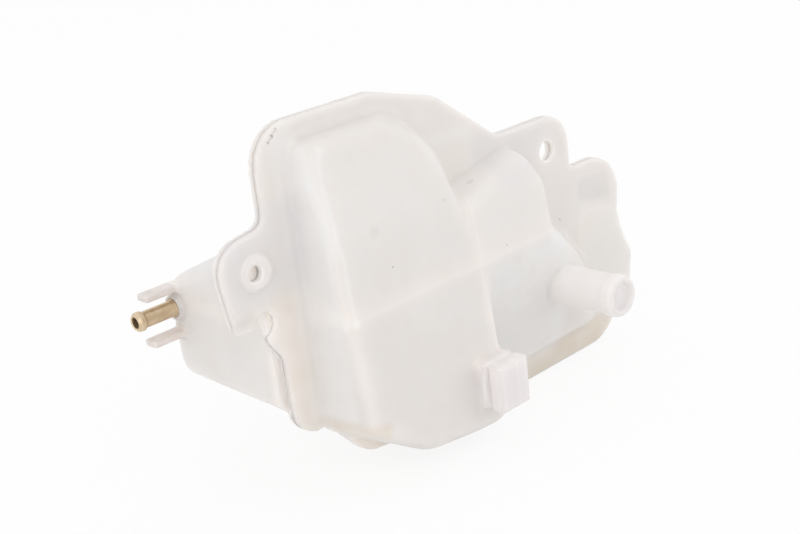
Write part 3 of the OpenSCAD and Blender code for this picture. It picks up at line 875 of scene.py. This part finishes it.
pipeLow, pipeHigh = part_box("vent_nipple")
pipe = {
    "root": pipeHigh.x,
    "y": (pipeLow.y + pipeHigh.y) / 2,
    "z": (pipeLow.z + pipeHigh.z) / 2,
    "length": pipeHigh.x - pipeLow.x,
    "bead": (pipeHigh.z - pipeLow.z) / 2,
    "tube": 4.2 * mm,
    "rootR": 4.8 * mm,
    "bore": 2.9 * mm,
    "shoulder": 9 * mm,
    "beadLength": 5 * mm,
    # the lengths of the bead's two slopes, the tip's wall and the bore's chamfer
    "rise": 1.1 * mm,
    "taper": 1.5 * mm,
    "lip": 0.6 * mm,
    "chamfer": 0.5 * mm,
    "rounds": {"root": 0.2 * mm, "waist": 0.3 * mm, "rise": 0.7 * mm, "taper": 0.8 * mm,
               "lip": 0.35 * mm, "chamfer": 0.25 * mm},
    "columns": 96,
}


def onPipe(right, up, height):
    # a place on the nipple's axis, height from its root outwards
    return (pipe["root"] - height, pipe["y"] + up, pipe["z"] + right)


def nipple():
    tip, bead, bore, rounds = pipe["length"], pipe["bead"], pipe["bore"], pipe["rounds"]
    neck = tip - pipe["beadLength"]
    section = softened([[bore, 0, 0], [pipe["rootR"], 0, rounds["root"]],
                        [pipe["rootR"], pipe["shoulder"], rounds["root"]],
                        [pipe["tube"], pipe["shoulder"], rounds["root"]],
                        [pipe["tube"], neck, rounds["waist"]],
                        [bead, neck + pipe["rise"], rounds["rise"]],
                        [bead, tip - pipe["taper"], rounds["taper"]],
                        [bore + pipe["lip"], tip, rounds["lip"]],
                        [bore, tip - pipe["chamfer"], rounds["chamfer"]],
                        [bore, 0, 0]])
    return turned("ventPipe", section[:-1], pipe["columns"], onPipe, None, True)


dress(nipple(), "tank", "nipple_metal", "vent_nipple")


coil = {
    "perTurn": 40,
    "round": 12,
    # how much flatter the end turns lie
    "flat": 0.6,
    # name, node, mean radius, wire radius, turns,
    # body, joint, and what is left of its length at the joint's limit
    "springs": [("pressureCoil", "pressure_spring", 8.4 * mm, 0.7 * mm, 4,
                 "housing", "pressure_open", 0.83),
                ("vacuumCoil", "vacuum_spring", 2.475 * mm, 0.35 * mm, 3,
                 "pressure", "vacuum_open", 0.7)],
}


def wire(name, low, high, mean, thickness, turns):
    # a round-wire spring between the ends of its CAD coil
    start, rise = low.y - rearFace + thickness, high.y - low.y - 2 * thickness
    rings = []
    steps = turns * coil["perTurn"]
    for step in range(steps + 1):
        angle = 2 * math.pi * step / coil["perTurn"]
        share = step / steps
        flat = coil["flat"] * math.sin(2 * math.pi * share) / (2 * math.pi)
        height = start + rise * (share - flat)
        ring = []
        for k in range(coil["round"]):
            turn = 2 * math.pi * k / coil["round"]
            reach = mean + thickness * math.cos(turn)
            ring.append(onNeck(reach * math.cos(angle), reach * math.sin(angle),
                               height + thickness * math.sin(turn)))
        rings.append(ring)
    return swept(name, rings)


for name, node, mean, thickness, turns, body, joint, keep in coil["springs"]:
    low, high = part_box(node)
    spring = dress(wire(name, low, high, mean, thickness, turns), body, "spring_steel", node)
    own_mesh(spring)
print("small pieces made")

slots = {row["node"]: row["material_slot"] for row in frame["record"]["subparts"]}
for node, item in frame["nodes"].items():
    if not item.hide_render:  # one that no piece stands for
        item.data.materials.clear()
        item.data.materials.append(finishes[slots[node]])

view = {
    "place": (-0.5341, -0.4664, 0.1942),
    "right": (0.7092, -0.6951, -0.1181),
    "up": (0.3158, 0.1635, 0.9346),
    "lens": 60.2,
    "sensor": 36,
}


def camera():
    data = bpy.data.cameras.new("camera")
    data.lens = view["lens"]
    data.sensor_width = view["sensor"]
    item = bpy.data.objects.new("camera", data)
    right = Vector(view["right"]).normalized()
    up = Vector(view["up"])
    back = right.cross(up).normalized()
    up = back.cross(right)
    turn = Matrix((right, up, back)).transposed().to_4x4()
    item.matrix_world = Matrix.Translation(view["place"]) @ turn
    bpy.context.scene.collection.objects.link(item)
    bpy.context.scene.camera = item


studio = {
    "floor": 6.0,
    "floorGap": 0.5 * mm,
    "paper": (0.93, 0.93, 0.93, 1),
    "white": (1, 1, 1, 1),
    # how much of the floor's white is its own, so that the object's shadow still shows
    "ownWhite": 0.86,
    "ambient": 0.97,
    "middle": (-0.08, 0, -0.03),
    # soft boxes: name, place, size, power
    "boxes": [("keyBox", (-0.6, -1.4, 1.2), (1.0, 1.0), 1.7),
              ("leftBox", (-1.5, -0.5, 0.2), (1.2, 1.2), 2.4),
              ("fillBox", (0.9, -1.3, 0.1), (1.2, 1.0), 1.9)],
}


def softbox(name, place, size, power):
    data = bpy.data.lights.new(name, "AREA")
    data.shape = "RECTANGLE"
    data.size, data.size_y = size
    data.energy = power
    item = bpy.data.objects.new(name, data)
    item.location = place
    item.rotation_mode = "QUATERNION"
    item.rotation_quaternion = (Vector(studio["middle"]) - Vector(place)).to_track_quat("-Z", "Y")
    bpy.context.scene.collection.objects.link(item)


def floor():
    # white paper, which shows the camera its own white and holds a soft shadow
    size = studio["floor"] / 2
    low = cadLow.z - studio["floorGap"]
    mesh = bpy.data.meshes.new("floor")
    corners = [(-size, -size, low), (size, -size, low), (size, size, low), (-size, size, low)]
    mesh.from_pydata(corners, [], [(0, 1, 2, 3)])
    item = bpy.data.objects.new("floor", mesh)
    bpy.context.scene.collection.objects.link(item)
    m = Bench("floorPaper")
    seen = m.add("ShaderNodeLightPath", {}, {}, "Is Camera Ray")
    glossy = Signal(m, seen.socket.node.outputs["Is Glossy Ray"])
    through = Signal(m, seen.socket.node.outputs["Is Transmission Ray"])
    paper = m.add("ShaderNodeBsdfDiffuse", {}, {"Color": studio["paper"]})
    white = m.add("ShaderNodeEmission", {}, {"Color": studio["white"], "Strength": 1.0})
    share = (seen + glossy + through) * studio["ownWhite"]
    mixed = m.add("ShaderNodeMixShader", {}, {0: share, 1: paper, 2: white})
    end = m.tree.nodes.new("ShaderNodeOutputMaterial")
    m.tree.links.new(mixed.socket, end.inputs["Surface"])
    mesh.materials.append(m.material)


def world():
    # even light all round, and a white background
    item = bpy.data.worlds.new("studio")
    bpy.context.scene.world = item
    item.use_nodes = True
    nodes, links = item.node_tree.nodes, item.node_tree.links
    nodes.clear()
    path = nodes.new("ShaderNodeLightPath")
    dim = nodes.new("ShaderNodeBackground")
    dim.inputs[1].default_value = studio["ambient"]
    dim.inputs[0].default_value = studio["white"]
    white = nodes.new("ShaderNodeBackground")
    white.inputs[0].default_value = studio["white"]
    seen = nodes.new("ShaderNodeMath")
    seen.operation = "MAXIMUM"
    links.new(path.outputs["Is Camera Ray"], seen.inputs[0])
    links.new(path.outputs["Is Transmission Ray"], seen.inputs[1])
    mix = nodes.new("ShaderNodeMixShader")
    links.new(seen.outputs[0], mix.inputs[0])
    links.new(dim.outputs[0], mix.inputs[1])
    links.new(white.outputs[0], mix.inputs[2])
    end = nodes.new("ShaderNodeOutputWorld")
    links.new(mix.outputs[0], end.inputs["Surface"])


camera()
floor()
world()
for row in studio["boxes"]:
    softbox(*row)
bpy.context.scene.view_settings.view_transform = "Standard"
print("studio made")
